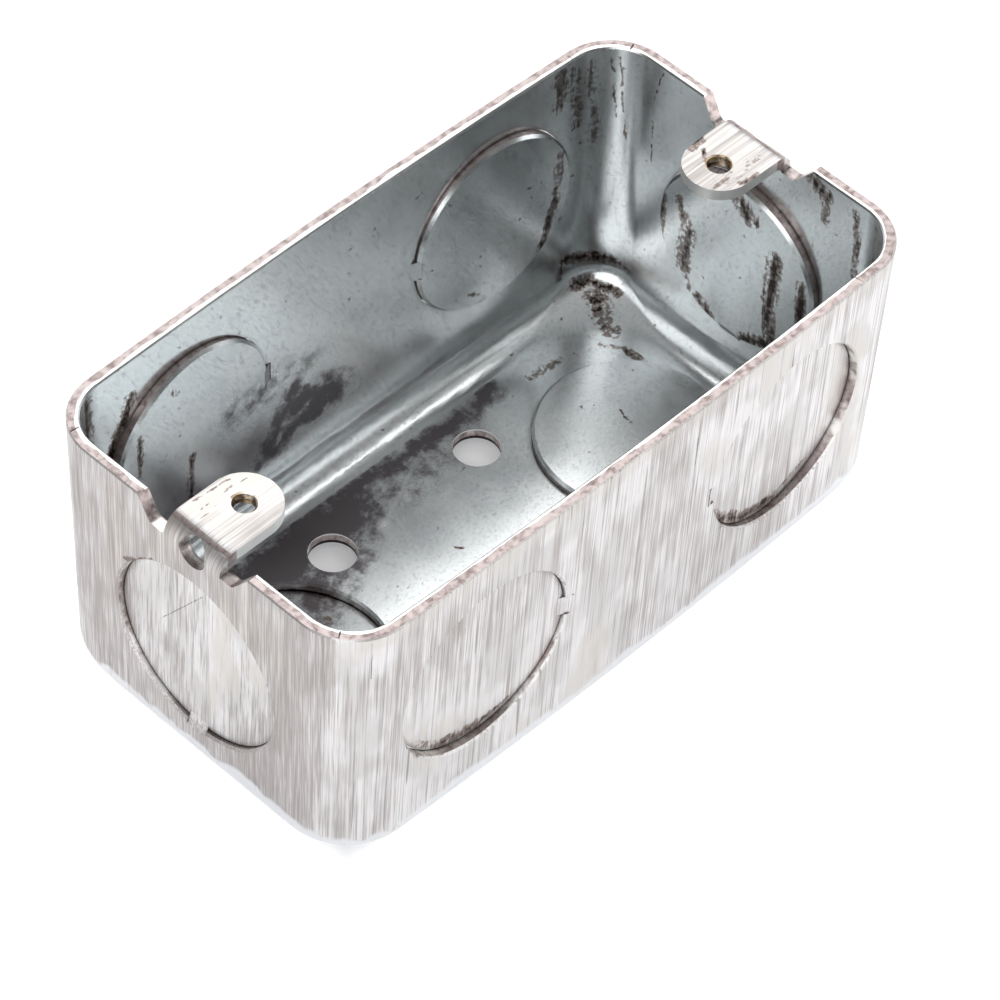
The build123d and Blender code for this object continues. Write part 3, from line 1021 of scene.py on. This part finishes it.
@dataclass
class Studio:
    """Plain pale floor, soft lamps, world and the photograph's viewpoint.

    Lengths are in millimetres, apart from the lamps', which are in metres. Angles are in radians.

    Attributes:
        azimuth: Where the camera stands about the box, from -Y. It and the next seven come from a fit to
            points read off the photograph.
        elevation: Its angle over the floor.
        distance: From the point it aims at.
        aim_height: Height of that point over the origin.
        pan: How far the camera then slides to its right.
        tilt: How far it slides up.
        roll: Its turn about its own line of sight.
        lens: Focal length.
        floor_level: Height of the floor, just under the driven-out knockout.
        floor_half: Half of the floor's side.
        floor_grey: How pale the floor is.
        glow_seen: The floor's glow to the camera.
        glow_mirrored: Its glow in reflections.
        shade: What is left of that glow under the box.
        shade_half: Half of the dimmed patch, along the box and across it.
        shade_edge: Half the width of its soft edge.
        lamp_distance: From the origin to each lamp, in metres.
    """

    azimuth: float = math.radians(-48.52)
    elevation: float = math.radians(48.526)
    distance: float = 620.33
    aim_height: float = 23.79
    pan: float = 2.158
    tilt: float = -7.595
    roll: float = math.radians(3.822)
    lens: float = 177.1
    floor_level: float = -1.45
    floor_half: float = 4000.0
    floor_grey: float = 0.86
    glow_seen: float = 0.42
    glow_mirrored: float = 0.27
    shade: float = 0.35
    shade_half: tuple[float, float] = (45.0, 22.0)
    shade_edge: float = 2.0
    lamp_distance: float = 1.2

    def camera(self) -> bpy.types.Object:
        """Sets up the camera at the photograph's viewing angle.

        Returns:
            The camera.
        """
        back = Vector((
            math.sin(self.azimuth) * math.cos(self.elevation),
            -math.cos(self.azimuth) * math.cos(self.elevation),
            math.sin(self.elevation),
        ))
        level = Vector((math.cos(self.azimuth), math.sin(self.azimuth), 0.0))
        rise = back.cross(level)
        right = level * math.cos(self.roll) + rise * math.sin(self.roll)
        top = rise * math.cos(self.roll) - level * math.sin(self.roll)
        spot = Vector((0.0, 0.0, self.aim_height)) + back * self.distance + right * self.pan + top * self.tilt
        data = bpy.data.cameras.new("viewpoint")
        data.lens = self.lens
        data.sensor_width = 36.0
        data.clip_start = 0.01
        data.clip_end = 50.0
        made = bpy.data.objects.new("viewpoint", data)
        made.matrix_world = Matrix.Translation(spot * MM) @ Matrix((right, top, back)).transposed().to_4x4()
        bpy.context.scene.collection.objects.link(made)
        bpy.context.scene.camera = made
        return made

    def ground(self) -> bpy.types.Object:
        """Lays the floor: pale, with a glow to the camera and in reflections that is dimmed under the box.

        Returns:
            The floor.
        """
        shape = bmesh.new()
        bmesh.ops.create_grid(shape, x_segments=1, y_segments=1, size=self.floor_half * MM)
        bmesh.ops.translate(shape, verts=shape.verts, vec=(0.0, 0.0, self.floor_level * MM))
        mesh = bpy.data.meshes.new("ground")
        shape.to_mesh(mesh)
        shape.free()
        made = bpy.data.objects.new("ground", mesh)
        bpy.context.scene.collection.objects.link(made)
        material = bpy.data.materials.new("pale_floor")
        material.use_nodes = True
        graph = Graph(material.node_tree)
        shader = next(n for n in material.node_tree.nodes if n.type == "BSDF_PRINCIPLED")
        shader.inputs["Base Color"].default_value = rgba((self.floor_grey,) * 3)
        shader.inputs["Roughness"].default_value = 0.9
        shader.inputs["Specular IOR Level"].default_value = 0.1
        shader.inputs["Emission Color"].default_value = rgba(WHITE)
        path = graph.node("ShaderNodeLightPath")
        mirrored = graph.calc("MULTIPLY", path.outputs["Is Glossy Ray"], self.glow_mirrored)
        seen = graph.calc("MULTIPLY_ADD", path.outputs["Is Camera Ray"], self.glow_seen, mirrored)
        across, deep, _ = graph.split(graph.coordinates())
        past_end = graph.calc("SUBTRACT", graph.calc("ABSOLUTE", across), self.shade_half[0] * MM)
        past_side = graph.calc("SUBTRACT", graph.calc("ABSOLUTE", deep), self.shade_half[1] * MM)
        edge = self.shade_edge * MM
        open_sky = graph.span(graph.most((past_end, past_side)), -edge, edge, self.shade, 1.0)
        graph.feed(shader.inputs["Emission Strength"], graph.calc("MULTIPLY", seen, open_sky))
        mesh.materials.append(material)
        return made

    def lamp(
        self, name: str, turn: float, rise: float, size: tuple[float, float], power: float
    ) -> bpy.types.Object:
        """Hangs a soft lamp that faces the box.

        Args:
            name: The lamp's name.
            turn: Its direction from the box about the vertical, in degrees from +X.
            rise: Its angle over the floor, in degrees.
            size: Its width and height, in metres.
            power: Watts.

        Returns:
            The lamp.
        """
        about, over = math.radians(turn), math.radians(rise)
        way = Vector((math.cos(about) * math.cos(over), math.sin(about) * math.cos(over), math.sin(over)))
        data = bpy.data.lights.new(name, "AREA")
        data.shape = "RECTANGLE"
        data.size, data.size_y = size
        data.energy = power
        made = bpy.data.objects.new(name, data)
        turned = way.to_track_quat("Z", "Y").to_matrix().to_4x4()
        made.matrix_world = Matrix.Translation(way * self.lamp_distance) @ turned
        made.visible_camera = False
        bpy.context.scene.collection.objects.link(made)
        return made

    def sky(self) -> None:
        """Gives the world: white behind the box, softer and darker overhead."""
        world = bpy.data.worlds.new("studio")
        bpy.context.scene.world = world
        world.use_nodes = True
        graph = Graph(world.node_tree)
        backdrop = next(n for n in world.node_tree.nodes if n.type == "BACKGROUND")
        backdrop.inputs["Color"].default_value = rgba(WHITE)
        path = graph.node("ShaderNodeLightPath")
        _, _, up = graph.split(graph.node("ShaderNodeTexCoord").outputs["Generated"])
        seen = graph.most(path.outputs[f"Is {ray} Ray"] for ray in ("Camera", "Glossy", "Transmission"))
        shown = graph.calc("MULTIPLY", seen, graph.span(up, 0.12, 0.42, 1.0, 0.10))
        fill = graph.calc("MULTIPLY", graph.calc("SUBTRACT", 1.0, seen), 0.5)
        graph.feed(backdrop.inputs["Strength"], graph.calc("ADD", shown, fill))

    def build(self) -> None:
        """Sets the whole studio up."""
        bpy.context.scene.view_settings.view_transform = "Standard"
        self.camera()
        self.ground()
        self.lamp("left_strip", -157.5, 12.0, (0.99, 0.53), 2.3)
        self.lamp("left_softbox", -157.5, 42.0, (0.95, 0.75), 3.3)
        self.lamp("front_strip", -112.5, 12.0, (0.99, 0.53), 1.6)
        self.lamp("front_right_strip", -67.5, 12.0, (0.99, 0.53), 3.4)
        self.lamp("right_softbox", -41.0, 50.0, (0.8, 0.55), 0.3)
        self.lamp("back_softbox", 45.0, 50.0, (1.2, 1.0), 7.4)
        self.lamp("overhead_softbox", 35.0, 89.0, (1.2, 1.2), 1.6)
        self.sky()


def main() -> None:
    """Builds the box and its studio, and reports each piece."""
    logging.basicConfig(level=logging.INFO, format="%(name)s: %(message)s")
    sheared = ShearedEdge("sheared_edge", (0.52, 0.45, 0.44), (0.28, 0.22, 0.21), 0.38)
    inside = SheetSkin("zinc_inside", (0.75, 0.78, 0.79), (0.11, 0.09, 0.085), 0.23)
    finishes = {
        Skin.OUTSIDE: DrawnSkin("drawn_outside", (0.66, 0.65, 0.65), (0.24, 0.195, 0.18), 0.42).material(
            NEAR_WALL_GREASE, HAIRLINES
        ),
        Skin.FLOOR: inside.material("floor", (*CORNER_GREASE, *FLOOR_GREASE), DULL_AND_SHADED_FLOOR, FLOOR_DIMPLE_HIGHLIGHT),
        Skin.LONG_WALL: inside.material(
            "long_wall", (*CORNER_GREASE, *LONG_WALL_GREASE), DULL_AND_SHADED_WALL, WALL_SCRATCHES
        ),
        Skin.END_WALL: inside.material("end_wall", (*CORNER_GREASE, *END_WALL_GREASE), (), ()),
        Skin.NEAR_WALLS: inside.material("near_walls", (), (), ()),
        Skin.RIM: sheared.material(round_rim=True),
        Skin.CUT: sheared.material(round_rim=False),
    }
    shell = BoxShell().build(finishes)
    LOG.info("%s: %d faces", shell.name, len(shell.data.polygons))
    greased = ShearedEdge("thread_metal", (0.42, 0.30, 0.18), (0.10, 0.07, 0.04), 0.3)
    thread_metal = greased.material(round_rim=False)
    for name, centre in (("near_ear_thread", -EAR_CENTRE), ("far_ear_thread", EAR_CENTRE)):
        thread = EarThread(name, centre).build(thread_metal)
        LOG.info("%s: %d faces", thread.name, len(thread.data.polygons))
    Studio().build()


if __name__ == "__main__":
    main()
